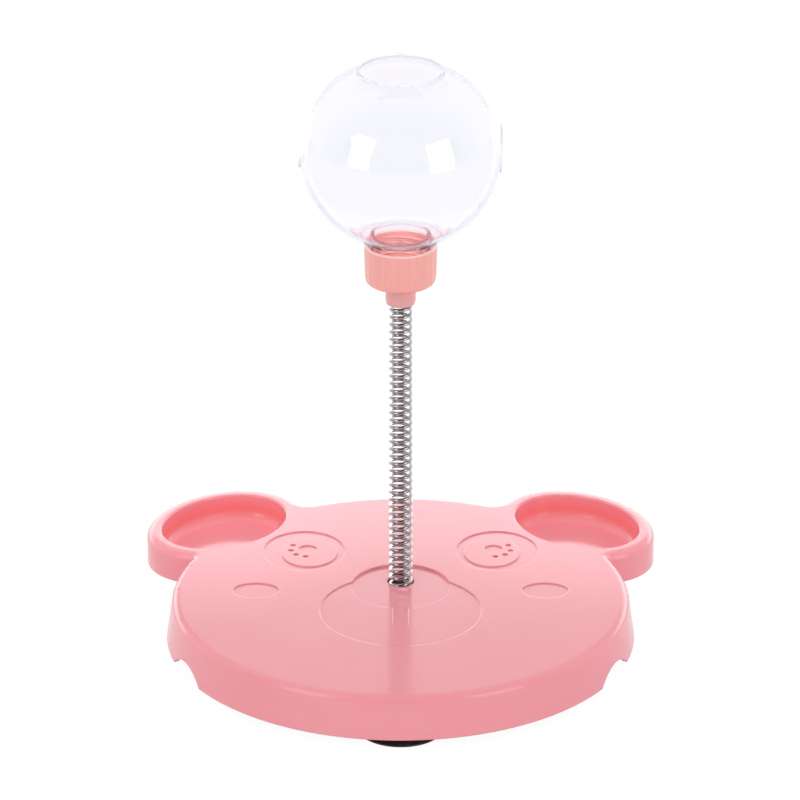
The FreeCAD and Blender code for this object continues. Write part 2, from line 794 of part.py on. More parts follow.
def arc_from_tangent(start, tangent, end):
    """The arc that leaves start along the tangent and ends at the given point."""
    chord = end - start
    normal = (tangent * chord.dot(tangent) - chord) * -1
    normal.normalize()
    radius = chord.dot(chord) / (2 * chord.dot(normal))
    centre = start + normal * radius
    middle = (start + end) * 0.5 - centre
    middle.normalize()
    return Part.Arc(start, centre + middle * radius, end), radius


def biarc(start, start_tangent, end, end_tangent):
    """Two arcs that join two points with the given tangents and meet smoothly between them."""
    gap = end - start
    both = start_tangent + end_tangent
    a = 2 * (1 - start_tangent.dot(end_tangent))
    b = 2 * gap.dot(both)
    c = -gap.dot(gap)
    reach = (-b + math.sqrt(b * b - 4 * a * c)) / (2 * a)
    middle = (start + start_tangent * reach + end - end_tangent * reach) * 0.5
    direction = (end - end_tangent * reach) - (start + start_tangent * reach)
    direction.normalize()
    first, first_radius = arc_from_tangent(start, start_tangent, middle)
    second, second_radius = arc_from_tangent(middle, direction, end)
    return [first, second], min(first_radius, second_radius)


def spring():
    wire = SIZES["wire_radius"]
    mean = number(spring_mean_radius)
    low = number(boss_level + d.seat_clearance) + wire
    high = number(socket_top_level - d.seat_clearance) - wire
    turns = round((high - low) / SIZES["spring_pitch"])
    rise = (high - low) / turns
    halves = 2 * turns
    angles = [math.pi * index for index in range(halves + 1)]
    points = [helix_point(angle, mean, rise) for angle in angles]
    tangents = [helix_tangent(angle, mean, rise) for angle in angles]
    lead_in = points[0] - tangents[0] * (2 * wire)
    edges = [Part.LineSegment(lead_in, points[0]).toShape()]
    tightest = mean
    for index in range(halves):
        arcs, radius = biarc(points[index], tangents[index], points[index + 1], tangents[index + 1])
        edges += [arc.toShape() for arc in arcs]
        tightest = min(tightest, radius)
    lead_out = points[-1] + tangents[-1] * (2 * wire)
    edges.append(Part.LineSegment(points[-1], lead_out).toShape())
    path = Part.Wire(edges)
    section = Part.Wire(Part.Circle(lead_in, tangents[0], wire).toShape())
    pipe = Part.BRepOffsetAPI.MakePipeShell(path)
    pipe.add(section)
    pipe.build()
    pipe.makeSolid()
    item = doc.addObject("Part::Feature", "Spring")
    item.Shape = pipe.shape()
    item.Label = "spring"
    item.Placement = FreeCAD.Placement(FreeCAD.Vector(0, number(axis_y), low), FreeCAD.Rotation())
    gap = spring_gap(mean, rise, wire)
    exact = math.pi * wire * wire * path.Length
    print(f"spring: {turns} turns, pitch {rise:.3f}, tightest arc {tightest:.2f}")
    print(f"spring: least gap to itself {gap:.2f}, volume {item.Shape.Volume:.1f} against {exact:.1f}")
    return item


def spring_gap(mean, rise, wire):
    """The least distance between the wire's surface and itself, at points half a turn away and more."""
    steps = 360
    start = helix_point(0, mean, rise)
    others = [helix_point(2 * math.pi * i / steps, mean, rise) for i in range(steps // 2, 2 * steps)]
    return min((point - start).Length for point in others) - 2 * wire


parts = [base_shell()]
parts += [suction_cup(side, x, y) for side, (x, y) in cup_places().items()]
parts += [spring_anchor(), anchor_screws(), spring(), spring_plug(), screw_cap(), cap_screw(), treat_ball()]
doc.recompute()

for item in doc.Objects:
    if "Invalid" in item.State or "Error" in item.State:
        raise RuntimeError(f"{item.Name} failed: {item.State}")
for item in parts:
    if item.Shape.isNull() or not item.Shape.isValid():
        raise RuntimeError(f"{item.Label} has no valid shape")

os.makedirs("parts", exist_ok=True)
for item in parts:
    item.Shape.exportStep(f"parts/{item.Label}.step")
    print(f"{item.Label}: {len(item.Shape.Solids)} solid(s), {item.Shape.Volume:.0f} mm3")
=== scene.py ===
import json
import math

import bpy
import bmesh
from mathutils import Matrix, Vector


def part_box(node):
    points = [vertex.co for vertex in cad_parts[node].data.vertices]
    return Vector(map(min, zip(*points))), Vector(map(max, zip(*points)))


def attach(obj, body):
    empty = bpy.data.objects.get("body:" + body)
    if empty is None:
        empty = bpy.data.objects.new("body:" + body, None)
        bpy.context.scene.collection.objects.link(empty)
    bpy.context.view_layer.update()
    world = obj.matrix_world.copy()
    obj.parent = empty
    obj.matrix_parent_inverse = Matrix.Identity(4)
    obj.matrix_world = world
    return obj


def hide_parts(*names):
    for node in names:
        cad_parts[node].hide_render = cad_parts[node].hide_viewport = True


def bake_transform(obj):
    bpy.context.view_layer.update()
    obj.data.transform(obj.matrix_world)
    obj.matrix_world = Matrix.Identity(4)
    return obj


# Treat dispensing toy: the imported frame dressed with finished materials, a wound spring,
# a ribbed and threaded screw cap, a clear blown ball, moulded cups and screws.
# Metres, +Z up, the muzzle towards -Y, as in the frame.

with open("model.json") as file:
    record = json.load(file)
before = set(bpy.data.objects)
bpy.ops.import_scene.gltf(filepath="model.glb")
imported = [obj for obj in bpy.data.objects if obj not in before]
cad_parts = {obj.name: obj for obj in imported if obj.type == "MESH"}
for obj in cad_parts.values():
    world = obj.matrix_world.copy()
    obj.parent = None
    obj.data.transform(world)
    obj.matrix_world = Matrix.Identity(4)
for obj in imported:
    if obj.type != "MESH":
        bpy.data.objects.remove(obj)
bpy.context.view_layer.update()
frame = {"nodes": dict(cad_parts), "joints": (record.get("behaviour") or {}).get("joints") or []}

MM = 0.001
UP = Vector((0, 0, 1))
ORIGIN = Vector((0, 0, 0))
FULL_TURN = 2 * math.pi
NEARLY = 0.01 * MM
ON_AXIS = 1e-7

# Edges sharper than this many degrees stay crisp
CREASE = 35
WIRE_CREASE = 60
BALL_CREASE = 20

# Camera: fitted to the base's outline in the 800 x 800 photograph
PHOTO_SIZE = 800
FOCAL_PIXELS = 6000
SENSOR_WIDTH = 36.0
CAMERA_PITCH = math.radians(24.23)
CAMERA_DEPTH = 2.8272
CAMERA_SIGHT = 50.0
HEAD_MIDDLE_PIXEL = (400.6, 632.8)
SKIRT_LEVEL = 6.0 * MM
HEAD_RADIUS = 110.0 * MM

# Places read from the frame
shell_low, shell_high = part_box("base_shell")
spring_low, spring_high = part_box("spring")
cap_low, cap_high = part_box("screw_cap")
cap_screw_low, cap_screw_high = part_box("cap_screw")
anchor_screws_low, anchor_screws_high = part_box("anchor_screws")
ball_low, ball_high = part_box("treat_ball")
HEAD_Y = shell_low.y + HEAD_RADIUS
AXIS_Y = (cap_low.y + cap_high.y) / 2
TOP_LEVEL = shell_high.z

# Ear bowls: where they are, and how the painted deeper pink on their walls, which stands in for light
# bouncing inside them, fades out at the rim and the floor
BOWL_X = 85.06 * MM
BOWL_Y = 76.01 * MM
BOWL_REACH = 37.5 * MM
BOWL_REACH_FADE = 1.0 * MM
BOWL_RIM_DEPTH = 0.5 * MM
BOWL_FULL_DEPTH = 6.0 * MM
BOWL_FLOOR = 13.6 * MM
BOWL_FLOOR_FADE = 5.0 * MM

# Suction cup: hollow, lip, dish, shoulder, neck and knob, with heights above the lip's rim
CUP_HOLLOW_TOP = 4.9 * MM
CUP_HOLLOW_RADIUS = 7.0 * MM
CUP_HOLLOW_HEIGHT = 4.4 * MM
CUP_HOLLOW_ROUND = 4.0 * MM
CUP_LIP_WIDTH = 1.6 * MM
CUP_LIP_HEIGHT = 0.8 * MM
CUP_DISH_RADIUS = 8.5 * MM
CUP_DISH_HEIGHT = 6.6 * MM
CUP_DISH_ROUND = 3.0 * MM
CUP_SHOULDER_RADIUS = 6.0 * MM
CUP_SHOULDER_HEIGHT = 7.9 * MM
CUP_NECK_RADIUS = 3.4 * MM
CUP_KNOB_RADIUS = 5.0 * MM
CUP_KNOB_HEIGHT = 10.5 * MM
CUP_TIP_RADIUS = 3.0 * MM
CUP_TIP_ROUND = 0.6 * MM
CUP_SOFT_ROUND = 0.5 * MM
CUP_SMALL_ROUND = 0.3 * MM
CUP_FINE_ROUND = 0.2 * MM

# Spring
WIRE_RADIUS = 0.85 * MM
SPRING_RADIUS = (spring_high.x - spring_low.x) / 2 - WIRE_RADIUS
SPRING_TURNS = 45
SPRING_STEPS = 40
WIRE_SIDES = 14

# Screw cap
CAP_RADIUS_LOW = 16.4 * MM
CAP_RADIUS_TOP = 17.0 * MM
CAP_HEIGHT = 19.0 * MM
CAP_FLOOR = 3.0 * MM
CAP_FLOOR_ROUND = 0.6 * MM
CAP_LOW_ROUND = 2.6 * MM
CAP_RIM_ROUND = 0.6 * MM
CAP_STEP = 0.3 * MM
CAP_LEVEL = cap_high.z - CAP_HEIGHT
CAP_RIBS = 24
CAP_RIB_DEPTH = 0.25 * MM
CAP_RIB_START = 0.6
CAP_RIB_ZONE = 0.2 * MM
CAP_RIB_STEPS = 20
STUB_RADIUS = 7.1 * MM
STUB_STRAIGHT = 8.6 * MM
STUB_END_RADIUS = 6.65 * MM
STUB_ROOT_ROUND = 0.5 * MM
STUB_EDGE_ROUND = 0.4 * MM
STUB_END_ROUND = 0.15 * MM
SOCKET_RADIUS = 6.05 * MM
SOCKET_ROOF = 0.6 * MM
SOCKET_ROOF_ROUND = 0.3 * MM
SCREW_HOLE = 1.6 * MM

# Screw thread of the cap and the neck
THREAD_ROOT_RADIUS = 15.2 * MM
THREAD_START = CAP_FLOOR + 5.0 * MM
THREAD_PITCH = 3.2 * MM
THREAD_TURNS = 2.4
THREAD_FADE = 0.2
THREAD_HALF_WIDTH = 0.75 * MM
CAP_THREAD_HEIGHT = 0.7 * MM
NECK_THREAD_HEIGHT = 0.33 * MM

# Ball
BALL_RADIUS = 47.6 * MM
BALL_WALL = 1.1 * MM
BALL_TURN = math.radians(4.0)
BALL_FLAT_RADIUS = 20.2 * MM
BALL_FLAT_HEIGHT = 38.3 * MM
BALL_STEP = 1.3 * MM
BALL_STEP_ROUND = 0.15 * MM
BALL_LEDGE = 1.1 * MM
BALL_BROW_RADIUS = 22.3 * MM
BALL_ARC_STEPS = 48
BALL_SEGMENTS = 256
BALL_CENTRE = Vector((0, AXIS_Y, ball_high.z - BALL_FLAT_HEIGHT))
LUG_ANGLE = math.radians(250)
LUG_HALF_ANGLE = math.radians(2.2)
LUG_REACH = 0.7 * MM
SHOULDER_RADIUS = 19.6 * MM
SHOULDER_INSET = 1.0 * MM
SHOULDER_ROUND = 0.6 * MM
NECK_RADIUS = 14.05 * MM
NECK_WALL = 1.25 * MM
NECK_GAP = 3.4 * MM
NECK_ROUND = 0.5 * MM
NECK_STEP = 0.2 * MM
NECK_LEVEL = cap_high.z + NECK_GAP
OUTLET_RADIUS = 11.2 * MM
OUTLET_RISE = 1.0 * MM
OUTLET_SIDES = 128
OUTLET_TOOL_REACH = 1.2
SAWN_TOLERANCE = 0.15 * MM
SAWN_SLANT = 0.3

# Screws: pan head with a cross recess, and a threaded shank
SCREW_HEAD_RADIUS = 2.8 * MM
SCREW_HEAD_HEIGHT = 1.8 * MM
SCREW_CORE = 1.1 * MM
SCREW_SEGMENTS = 48
SCREW_STEP = 0.2 * MM
SCREW_POINT = 1.2 * MM
SCREW_PLAIN = 0.8 * MM
SCREW_PITCH = 1.2 * MM
SCREW_RIDGE = 0.45 * MM
SCREW_RIDGE_SHARE = 0.2
SCREW_EDGE_HEIGHT = 0.45 * SCREW_HEAD_HEIGHT
SCREW_CROWN_RADIUS = 0.55 * SCREW_HEAD_RADIUS
SCREW_CROWN_HEIGHT = 0.95 * SCREW_HEAD_HEIGHT
SCREW_POINT_ROUND = 0.2 * MM
SCREW_HEAD_ROUND = 0.15 * MM
SCREW_EDGE_ROUND = 0.4 * MM
SCREW_CROWN_ROUND = 0.8 * MM
RECESS_HALF_WIDTH = 0.35 * MM
RECESS_REACH = 1.5 * MM
RECESS_FOOT = 0.6 * MM
RECESS_FLOOR = 0.35 * SCREW_HEAD_HEIGHT
RECESS_TOP = 1.2 * SCREW_HEAD_HEIGHT
PILLAR_RING = 14.0 * MM
PILLAR_ANGLES = (30, 150, 270)

# Colours
WHITE = (1.0, 1.0, 1.0)
FLOOR_GREY = (0.86, 0.86, 0.87)
PINK_LIGHT = (0.93, 0.335, 0.375)
PINK_DEEP = (0.91, 0.315, 0.355)
# Painted bounce light: the deeper pink on the walls inside the ear bowls
BOWL_BOUNCE_PINK = (1.0, 0.26, 0.27)
SALMON_LIGHT = (0.98, 0.43, 0.385)
SALMON_DEEP = (0.97, 0.41, 0.365)
# Painted highlight on the cap's rim, and painted shade on its stub
SALMON_PAINTED_HIGHLIGHT = (1.0, 0.62, 0.58)
SALMON_PAINTED_SHADE = (0.83, 0.41, 0.4)
NATURAL_LIGHT = (0.8, 0.79, 0.76)
NATURAL_DEEP = (0.74, 0.73, 0.7)
RUBBER_CLEAN = (0.012, 0.011, 0.012)
RUBBER_DUSTY = (0.03, 0.027, 0.028)
WIRE_DARK = (0.4, 0.4, 0.41)
WIRE_LIGHT = (0.52, 0.52, 0.53)
PLATING_DARK = (0.5, 0.5, 0.5)
PLATING_LIGHT = (0.66, 0.65, 0.62)
CLEAR_WALL = (0.96, 0.962, 0.99)
# Painted shade along the ball's lower outline, on its wall
CLEAR_OUTLINE_SHADE = (0.86, 0.86, 0.92)
CLEAR_PASSING = (0.985, 0.986, 0.998)
# Painted shade along the outline on what passes straight through the ball
CLEAR_PASSING_SHADE = (0.88, 0.88, 0.92)
CLEAR_DEPTHS = (0.72, 0.72, 0.9)
SAWN_LIGHT = (0.95, 0.95, 0.98)
SAWN_DARK = (0.9, 0.9, 0.94)

# Finish of the plastics
PLASTIC_IOR = 1.5
PLASTIC_SCATTER = (1.0, 0.35, 0.3)
PLASTIC_SCATTER_REACH = 6.0 * MM
HAZE_GLOSSY = -0.03
HAZE_DULL = 0.05
BEVEL_SAMPLES = 6
# Bands of painted light on the cap: the rim's painted highlight and the stub's painted shade
CAP_RIM_HIGHLIGHT = (0.8 * MM, 0.4 * MM)
CAP_STUB_SHADE = 0.6 * MM

# Clear plastic: bounces before a trapped ray goes straight on, how much the wall absorbs, and the
# outline's greyer tint, a painted shade, which fades out towards the top of the ball and on the neck
CLEAR_BOUNCES = 5
CLEAR_DENSITY = 16.0
CLEAR_EDGE_SHARE = 0.8
CLEAR_EDGE_FACING = (0.6, 0.88)
CLEAR_SHADE_LOW = BALL_CENTRE.z - 0.3 * BALL_RADIUS
CLEAR_SHADE_HIGH = BALL_CENTRE.z + 0.6 * BALL_RADIUS
CLEAR_SHADE_TOP = 0.25
CLEAR_NECK_FADE = (NECK_LEVEL - 0.5 * MM, NECK_LEVEL + 1.0 * MM)

# Most values of a noise texture lie in this stretch
NOISE_LOW = 0.3
NOISE_HIGH = 0.7

# Stage: what share of the white floor glows for the camera and through the ball, and how bright
# the floor and the room are in gloss, in front of the object and behind it
FLOOR_SIZE = 6.0
FLOOR_SHARE = 0.86
FLOOR_GLOW = 1.1
FLOOR_SHARE_THROUGH = 0.9
FLOOR_ROUGHNESS = 0.9
FLOOR_SPECULAR = 0.1
MIRROR_FLOOR_FRONT = 0.2
MIRROR_FLOOR_BACK = 0.6
MIRROR_FLOOR_FADE = (-0.9, -0.1)
FILL_STRENGTH = 0.25
SEEN_STRENGTH = 1.0
MIRROR_FRONT = 0.1
MIRROR_BACK = 1.2
MIRROR_FADE = (-0.5, 0.45)

# Softboxes: (name, place, aim, width, height, power, whether it shows in gloss)
SOFTBOXES = (
    ("softbox_left", (-1.2, -1.13, 0.75), (0, 0, 0.245), 0.8, 1.35, 8.0, True),
    ("softbox_right", (1.2, -1.15, 0.6), (0, 0, 0.245), 0.9, 1.2, 8.0, True),
    ("fill_left", (-1.6, 0.3, 0.6), (0, 0, 0.1), 1.0, 1.1, 4.5, False),
    ("fill_right", (1.6, 0.3, 0.6), (0, 0, 0.1), 1.0, 1.1, 4.2, False),
    ("fill_top", (0, 0.2, 1.9), (0, 0, 0), 1.6, 1.4, 7.5, False),
    ("fill_front", (0, -1.1, 1.5), (0, 0, 0.1), 1.4, 1.2, 7.0, False),
)

# Bright cards behind the object, dimmer upwards: (name, lower edge, upper edge, power)
CARD_DEPTH = 0.5
CARD_WIDTH = 1.6
CARDS = (
    ("card_lowest", 0.02, 0.17, 1.3),
    ("card_low", 0.17, 0.213, 0.53),
    ("card_middle", 0.213, 0.245, 0.26),
    ("card_high", 0.245, 0.28, 0.15),
)

# Narrow lights into the bowls and onto the cap's inner back wall:
# (name, place, aim, cone in degrees, power, size)
CAP_WALL = Vector((0, AXIS_Y + 15.0 * MM, cap_high.z - 7.0 * MM))
CAP_LIGHT_WAY = Vector((0, -0.707, 0.707))
NARROW_LIGHTS = (
    ("ear_light_left", (-0.12, -0.12, 1.0), (-BOWL_X, BOWL_Y, 0.02), 9.0, 6.5, 0.04),
    ("ear_light_right", (0.12, -0.12, 1.0), (BOWL_X, BOWL_Y, 0.02), 9.0, 4.5, 0.04),
    ("cap_light", CAP_WALL + CAP_LIGHT_WAY, CAP_WALL, 2.1, 34.0, 0.005),
)


# Mesh helpers
def arc(centre, radius, start, end, steps):
    """Points of an arc in the (r, z) plane; angles in degrees from the +r axis, start and end included."""
    points = []
    for index in range(steps + 1):
        angle = math.radians(start + (end - start) * index / steps)
        points.append((centre[0] + radius * math.cos(angle), centre[1] + radius * math.sin(angle)))
    return points


def rounded(corners, steps=6):
    """An open outline whose corners are rounded: each corner is (r, z) or (r, z, radius)."""
    points = []
    for index, corner in enumerate(corners):
        here = Vector(corner[:2])
        radius = corner[2] if len(corner) > 2 else 0
        if radius == 0 or index in (0, len(corners) - 1):
            points.append(tuple(here))
            continue
        before = (Vector(corners[index - 1][:2]) - here).normalized()
        after = (Vector(corners[index + 1][:2]) - here).normalized()
        half = before.angle(after) / 2
        reach = radius / math.tan(half)
        centre = here + (before + after).normalized() * (radius / math.sin(half))
        first = here + before * reach - centre
        last = here + after * reach - centre
        turn = first.angle_signed(last)
        for step in range(steps + 1):
            spin = Matrix.Rotation(-turn * step / steps, 2)
            points.append(tuple(centre + spin @ first))
    return points


def dense(points, step):
    """The same outline with no stretch longer than step."""
    result = [points[0]]
    for start, end in zip(points, points[1:]):
        count = max(1, math.ceil(math.dist(start, end) / step))
        for index in range(1, count + 1):
            share = index / count
            result.append((start[0] + (end[0] - start[0]) * share, start[1] + (end[1] - start[1]) * share))
    return result


def smooth_faces(mesh):
    for polygon in mesh.polygons:
        polygon.use_smooth = True


def new_object(name, mesh, smooth=True):
    if smooth:
        smooth_faces(mesh)
    item = bpy.data.objects.new(name, mesh)
    bpy.context.scene.collection.objects.link(item)
    return item


def mesh_from(name, points, faces):
    mesh = bpy.data.meshes.new(name)
    mesh.from_pydata(points, [], faces)
    mesh.validate()
    return mesh


def band(low, high):
    """The faces between two rings of point numbers; a ring that is one point makes triangles."""
    faces = []
    for index in range(len(low)):
        following = (index + 1) % len(low)
        corners = [low[index], low[following], high[following], high[index]]
        corners = list(dict.fromkeys(corners))
        if len(corners) > 2:
            faces.append(corners)
    return faces


def lathe(name, outline, centre, segments=96, shift=None, closed=False):
    """A surface of revolution about the vertical through centre.

    The outline runs through (r, z) points; one with r = 0 becomes a single point on the axis.
    shift(r, z, angle) gives a change of radius, for ribs and threads.
    """
    points = []
    rings = []
    for r, z in outline:
        if r < ON_AXIS:
            points.append((centre.x, centre.y, centre.z + z))
            rings.append([len(points) - 1] * segments)
            continue
        ring = []
        for index in range(segments):
            angle = FULL_TURN * index / segments
            radius = r + (shift(r, z, angle) if shift else 0)
            points.append((
                centre.x + radius * math.cos(angle),
                centre.y + radius * math.sin(angle),
                centre.z + z,
            ))
            ring.append(len(points) - 1)
        rings.append(ring)
    pairs = list(zip(rings, rings[1:]))
    if closed:
        pairs.append((rings[-1], rings[0]))
    faces = []
    for low, high in pairs:
        faces += band(low, high)
    mesh = mesh_from(name, points, faces)
    fix_normals(mesh)
    return new_object(name, mesh)


def fix_normals(mesh):
    work = bmesh.new()
    work.from_mesh(mesh)
    bmesh.ops.recalc_face_normals(work, faces=work.faces)
    work.to_mesh(mesh)
    work.free()


def sharpen(item, degrees=CREASE):
    """Keeps real corners crisp while the rest of the surface shades smoothly."""
    item.data.set_sharp_from_angle(angle=math.radians(degrees))
    return item


def cut(item, tool):
    """Takes the tool's volume out of the item and deletes the tool."""
    step = item.modifiers.new("cut", "BOOLEAN")
    step.operation = "DIFFERENCE"
    step.solver = "EXACT"
    step.object = tool
    apply_modifiers(item)
    bpy.data.objects.remove(tool)


def apply_modifiers(item):
    bpy.context.view_layer.update()
    graph = bpy.context.evaluated_depsgraph_get()
    mesh = bpy.data.meshes.new_from_object(item.evaluated_get(graph))
    item.modifiers.clear()
    old = item.data
    item.data = mesh
    bpy.data.meshes.remove(old)


def rod(name, radius, start, end, sides):
    """A closed cylinder between two points, used as a cutting tool."""
    spin = UP.rotation_difference(end - start).to_matrix()
    points = []
    for base in (start, end):
        for index in range(sides):
            angle = FULL_TURN * index / sides
            points.append(base + spin @ Vector((radius * math.cos(angle), radius * math.sin(angle), 0)))
    low = list(range(sides))
    high = list(range(sides, 2 * sides))
    faces = [low[::-1], high] + band(low, high)
    return new_object(name, mesh_from(name, points, faces))


def tube(name, path, radius, sides):
    """A round wire along a list of points, closed at both ends."""
    tangents = []
    for index in range(len(path)):
        before = path[max(index - 1, 0)]
        after = path[min(index + 1, len(path) - 1)]
        tangents.append((after - before).normalized())
    across = tangents[0].orthogonal().normalized()
    points = []
    rings = []
    for point, tangent in zip(path, tangents):
        across = (across - tangent * across.dot(tangent)).normalized()
        other = tangent.cross(across)
        ring = []
        for index in range(sides):
            angle = FULL_TURN * index / sides
            points.append(point + (across * math.cos(angle) + other * math.sin(angle)) * radius)
            ring.append(len(points) - 1)
        rings.append(ring)
    faces = []
    for low, high in zip(rings, rings[1:]):
        faces += band(low, high)
    faces += [rings[0][::-1], rings[-1]]
    return sharpen(new_object(name, mesh_from(name, points, faces)), WIRE_CREASE)


# Materials
class Graph:
    """A node tree with short ways to add nodes and to join them."""

    def __init__(self, tree):
        self.nodes = tree.nodes
        self.links = tree.links
        self.coordinates = self.nodes.new("ShaderNodeTexCoord").outputs

    def put(self, value, socket):
        """Links an output to the socket, or sets a plain number or colour on it."""
        if isinstance(value, bpy.types.NodeSocket):
            self.links.new(value, socket)
        elif socket.type == "RGBA":
            socket.default_value = (*value, 1.0)
        else:
            socket.default_value = value

    def parts(self, vector):
        """A vector's X, Y and Z."""
        node = self.nodes.new("ShaderNodeSeparateXYZ")
        self.put(vector, node.inputs["Vector"])
        return node.outputs

    def calculate(self, operation, first, second=0.0, clamp=False):
        """The outcome of one Math node."""
        node = self.nodes.new("ShaderNodeMath")
        node.operation = operation
        node.use_clamp = clamp
        self.put(first, node.inputs[0])
        self.put(second, node.inputs[1])
        return node.outputs[0]

    def noise(self, scale, detail=3.0, roughness=0.5, stretch=None):
        node = self.nodes.new("ShaderNodeTexNoise")
        node.inputs["Scale"].default_value = scale
        node.inputs["Detail"].default_value = detail
        node.inputs["Roughness"].default_value = roughness
        source = self.coordinates["Object"]
        if stretch:
            mapping = self.nodes.new("ShaderNodeMapping")
            mapping.inputs["Scale"].default_value = stretch
            self.put(source, mapping.inputs["Vector"])
            source = mapping.outputs["Vector"]
        self.put(source, node.inputs["Vector"])
        return node.outputs["Fac"]

    def range(self, value, low, high, from_low=NOISE_LOW, from_high=NOISE_HIGH, smooth=False):
        """Low where the value is from_low or less, high where it is from_high or more."""
        node = self.nodes.new("ShaderNodeMapRange")
        if smooth:
            node.interpolation_type = "SMOOTHSTEP"
        node.inputs["From Min"].default_value = from_low
        node.inputs["From Max"].default_value = from_high
        node.inputs["To Min"].default_value = low
        node.inputs["To Max"].default_value = high
        self.put(value, node.inputs["Value"])
        return node.outputs["Result"]

    def mix(self, factor, first, second):
        """The first colour where the factor is 0, the second where it is 1."""
        node = self.nodes.new("ShaderNodeMix")
        node.data_type = "RGBA"
        self.put(factor, node.inputs["Factor"])
        sockets = [socket for socket in node.inputs if socket.type == "RGBA"]
        for colour, socket in zip((first, second), sockets):
            self.put(colour, socket)
        return next(socket for socket in node.outputs if socket.type == "RGBA")

    def blend(self, share, first, second):
        """The first shader where the share is 0, the second where it is 1."""
        node = self.nodes.new("ShaderNodeMixShader")
        self.put(share, node.inputs["Fac"])
        self.put(first, node.inputs[1])
        self.put(second, node.inputs[2])
        return node.outputs["Shader"]

    def light_path(self):
        return self.nodes.new("ShaderNodeLightPath").outputs


class Shader(Graph):
    """A material with a Principled surface."""

    def __init__(self, name):
        self.material = bpy.data.materials.new(name)
        self.material.use_nodes = True
        super().__init__(self.material.node_tree)
        self.surface = self.nodes["Principled BSDF"]
        self.output = self.nodes["Material Output"].inputs

    def set(self, **values):
        """Gives the surface's sockets their values; an underscore stands for a space."""
        for name, value in values.items():
            self.put(value, self.surface.inputs[name.replace("_", " ")])

    def bump(self, height, strength, distance, normal=None):
        node = self.nodes.new("ShaderNodeBump")
        node.inputs["Strength"].default_value = strength
        node.inputs["Distance"].default_value = distance
        self.put(height, node.inputs["Height"])
        if normal:
            self.put(normal, node.inputs["Normal"])
        self.put(node.outputs["Normal"], self.surface.inputs["Normal"])

    def soft_edges(self, radius):
        node = self.nodes.new("ShaderNodeBevel")
        node.samples = BEVEL_SAMPLES
        node.inputs["Radius"].default_value = radius
        return node.outputs["Normal"]


def painted_bowl_bounce(shader, colour):
    """A painted deeper pink on the walls inside the two ear bowls, standing in for light bouncing between
    the walls.
    """
    place = shader.parts(shader.coordinates["Object"])
    flat = shader.nodes.new("ShaderNodeCombineXYZ")
    shader.put(shader.calculate("ABSOLUTE", place["X"]), flat.inputs["X"])
    shader.put(place["Y"], flat.inputs["Y"])
    away = shader.nodes.new("ShaderNodeVectorMath")
    away.operation = "DISTANCE"
    shader.put(flat.outputs["Vector"], away.inputs[0])
    shader.put((BOWL_X, BOWL_Y, 0), away.inputs[1])
    near = shader.range(away.outputs["Value"], 1.0, 0.0, BOWL_REACH, BOWL_REACH + BOWL_REACH_FADE)
    below = shader.range(place["Z"], 1.0, 0.0, TOP_LEVEL - BOWL_FULL_DEPTH, TOP_LEVEL - BOWL_RIM_DEPTH)
    above = shader.range(place["Z"], 0.0, 1.0, BOWL_FLOOR, BOWL_FLOOR + BOWL_FLOOR_FADE)
    inside = shader.calculate("MULTIPLY", near, below)
    return shader.mix(shader.calculate("MULTIPLY", inside, above), colour, BOWL_BOUNCE_PINK)


def cap_painted_light(shader, colour):
    """A paler rim, which is a painted highlight, and a darker stub, which is painted shade."""
    level = shader.parts(shader.coordinates["Object"])["Z"]
    on_rim = shader.range(level, 0.0, 1.0, cap_high.z - CAP_RIM_HIGHLIGHT[0], cap_high.z - CAP_RIM_HIGHLIGHT[1])
    on_stub = shader.range(level, 1.0, 0.0, CAP_LEVEL - CAP_STUB_SHADE, CAP_LEVEL)
    return shader.mix(on_stub, shader.mix(on_rim, colour, SALMON_PAINTED_HIGHLIGHT), SALMON_PAINTED_SHADE)


def moulded_plastic(name, light, deep, roughness, edge, depth_share, painted_light=None):
    """Injection-moulded plastic: faint flow marks in colour and gloss, and softly rounded edges."""
    shader = Shader(name)
    flow = shader.noise(scale=9.0, detail=4.0, roughness=0.55, stretch=(1.0, 1.0, 3.0))
    colour = shader.mix(shader.range(flow, 0.0, 1.0), light, deep)
    # Painted light, where it is given: the bowls' deeper pink standing in for bounced light, the cap's
    # painted highlight on its rim and painted shade on its stub
    if painted_light:
        colour = painted_light(shader, colour)
    haze = shader.noise(scale=35.0, detail=5.0, roughness=0.6)
    grain = shader.noise(scale=1400.0, detail=2.0)
    shader.bump(grain, strength=0.035, distance=0.2 * MM, normal=shader.soft_edges(edge))
    shader.set(
        Base_Color=colour,
        Roughness=shader.range(haze, roughness + HAZE_GLOSSY, roughness + HAZE_DULL),
        IOR=PLASTIC_IOR,
        Subsurface_Weight=depth_share,
        Subsurface_Radius=PLASTIC_SCATTER,
        Subsurface_Scale=PLASTIC_SCATTER_REACH,
    )
    return shader.material


def black_rubber():
    """Black rubber with a little dust in its pores."""
    shader = Shader("rubber_black")
    dust = shader.noise(scale=160.0, detail=5.0, roughness=0.6)
    shader.bump(shader.noise(scale=900.0, detail=2.0), strength=0.08, distance=0.2 * MM)
    shader.set(
        Base_Color=shader.mix(shader.range(dust, 0.0, 1.0), RUBBER_CLEAN, RUBBER_DUSTY),
        Roughness=shader.range(dust, 0.32, 0.5),
    )
    return shader.material


def bright_wire():
    """Bright drawn wire: fine draw lines and slight changes of gloss along it."""
    shader = Shader("steel_wire")
    marks = shader.noise(scale=420.0, detail=4.0, roughness=0.6)
    shader.bump(shader.noise(scale=2600.0, detail=2.0), strength=0.05, distance=0.1 * MM)
    shader.set(
        Base_Color=shader.mix(shader.range(marks, 0.0, 1.0), WIRE_DARK, WIRE_LIGHT),
        Roughness=shader.range(marks, 0.1, 0.2),
        Metallic=1.0,
    )
    return shader.material


